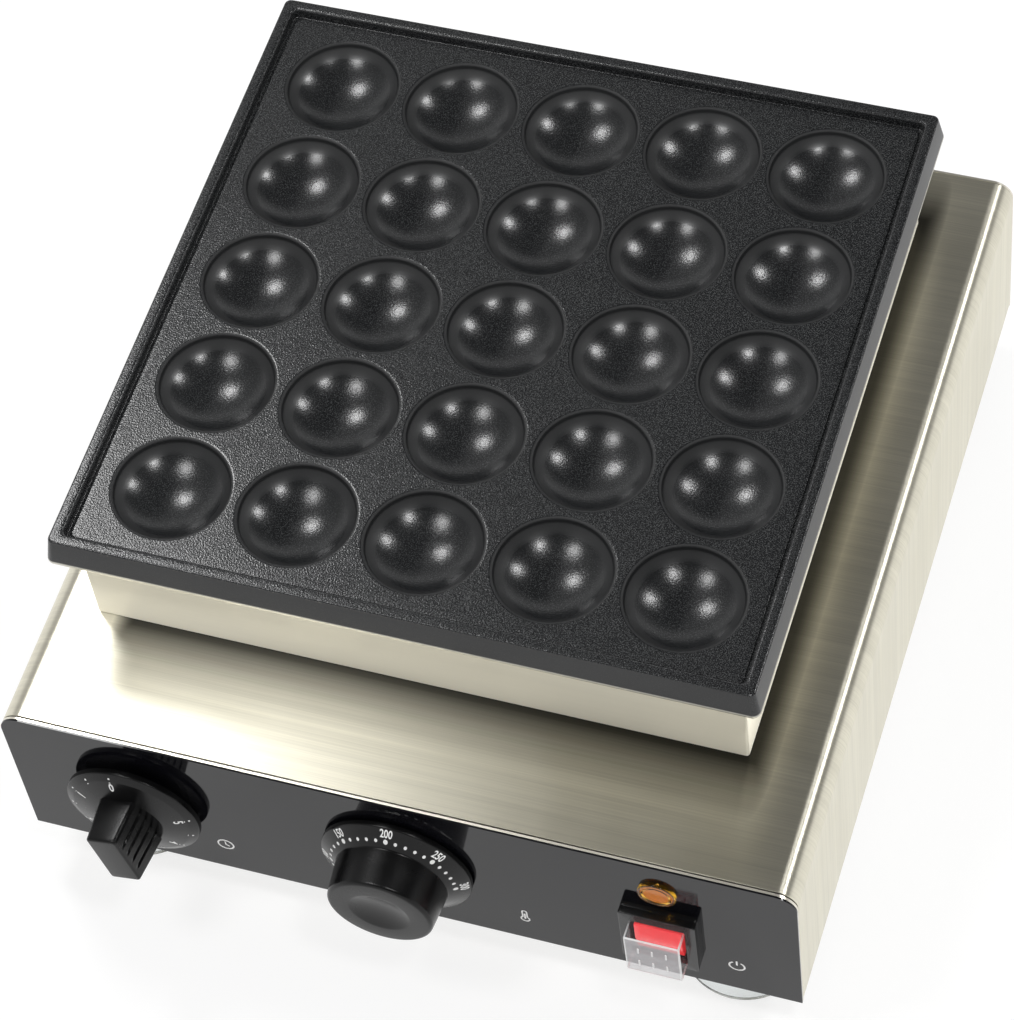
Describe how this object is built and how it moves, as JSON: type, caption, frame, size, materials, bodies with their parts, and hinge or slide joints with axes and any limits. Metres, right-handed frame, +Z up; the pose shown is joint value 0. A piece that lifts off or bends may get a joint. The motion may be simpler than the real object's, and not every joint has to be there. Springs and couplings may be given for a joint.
{
  "type": "mini pancake maker",
  "caption": "Table-top mini pancake maker: a black cast plate of round bowls on a steel heater box, over a steel housing with timer, thermostat, lamp and covered rocker switch.",
  "frame": {"origin": "middle of the bounding box at the table surface, under the feet", "axes": "+X to the right seen from the front, +Y from the control panel to the back, +Z up"},
  "size_m": [0.313, 0.3836, 0.165],
  "materials": {
    "plate_coat": "black non-stick coat, fine grain",
    "box_steel": "satin",
    "cover_steel": "brushed from side to side",
    "panel_steel": "satin",
    "overlay_gloss": "gloss",
    "knob_black": "satin",
    "lens_amber": "clear amber",
    "switch_black": "satin",
    "boot_clear": "clear, milky front",
    "rocker_red": "gloss",
    "foot_clear": "clear, soft",
    "fastener_steel": "zinc plated",
    "base_steel": "plain sheet",
    "element_steel": "heat tinted",
    "insulation": "pressed fibre",
    "control_case": "plain",
    "copper_tube": "plain",
    "wire_cover": "sleeved",
    "gland_black": "satin"
  },
  "bodies": {
    "machine": {"griddle_plate": "plate_coat", "heater_box": "box_steel", "housing_cover": "cover_steel", "front_panel": "panel_steel", "panel_overlay": "overlay_gloss", "rear_panel": "panel_steel", "base_plate": "base_steel", "foot_front_left": "foot_clear", "foot_front_right": "foot_clear", "foot_rear_left": "foot_clear", "foot_rear_right": "foot_clear", "foot_bolts": "fastener_steel", "foot_nuts": "fastener_steel", "heating_element": "element_steel", "element_bars": "base_steel", "bar_nuts": "fastener_steel", "reflector_tray": "base_steel", "insulation_pad": "insulation", "plate_studs": "fastener_steel", "plate_nuts": "fastener_steel", "thermostat_body": "control_case", "thermostat_screws": "fastener_steel", "thermostat_bulb": "copper_tube", "timer_body": "control_case", "timer_screws": "fastener_steel", "lamp_lens": "lens_amber", "lamp_body": "control_case", "lamp_clip": "fastener_steel", "switch_body": "switch_black", "boot_frame": "switch_black", "switch_boot": "boot_clear", "terminal_block": "control_case", "terminal_screws": "copper_tube", "cable_gland": "gland_black", "gland_nut": "gland_black", "earth_bolt": "copper_tube", "heater_leads": "wire_cover", "supply_leads": "wire_cover", "base_screws": "fastener_steel", "rear_screws": "fastener_steel"},
    "timer_dial": {"timer_knob": "knob_black", "timer_shaft": "fastener_steel"},
    "thermostat_dial": {"thermostat_knob": "knob_black", "thermostat_shaft": "fastener_steel"},
    "rocker": {"power_rocker": "rocker_red"}
  },
  "joints": [
    {"name": "timer_turn", "type": "hinge", "parent": "machine", "child": "timer_dial", "pos_m": [-0.106, -0.1638, 0.06535], "axis": [0, 1, 0], "range_deg": [0, 270]},
    {"name": "thermostat_turn", "type": "hinge", "parent": "machine", "child": "thermostat_dial", "pos_m": [0, -0.1638, 0.06535], "axis": [0, 1, 0], "range_deg": [-90, 180]},
    {"name": "rocker_press", "type": "hinge", "parent": "machine", "child": "rocker", "pos_m": [0.1033, -0.1623, 0.0578], "axis": [-1, 0, 0], "range_deg": [0, 12]}
  ]
}
